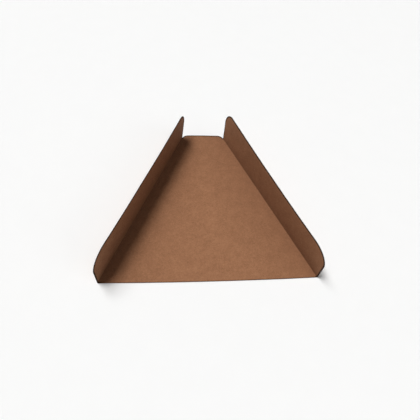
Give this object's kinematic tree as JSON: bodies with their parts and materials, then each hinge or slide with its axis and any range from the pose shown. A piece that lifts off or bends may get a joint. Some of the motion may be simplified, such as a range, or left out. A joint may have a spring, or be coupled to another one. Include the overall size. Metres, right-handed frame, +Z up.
{
  "type": "pizza slice tray",
  "caption": "Takeaway tray for a slice of pizza, folded from one blank of brown kraft board: a cut-off triangular base with an upright wall along each long side, open front and rear.",
  "frame": {"origin": "the middle of the base's flat underside, half way from the front ends of the creases to their rear ends", "axes": "+X across the tray to the right as seen from its open front, +Y from the wide open front to the narrow rear, +Z up"},
  "size_m": [0.2269, 0.205, 0.0384],
  "materials": {
    "kraft_board": "matt unbleached kraft board with fine fibres"
  },
  "bodies": {
    "root": {"folded_tray": "kraft_board"}
  },
  "joints": []
}
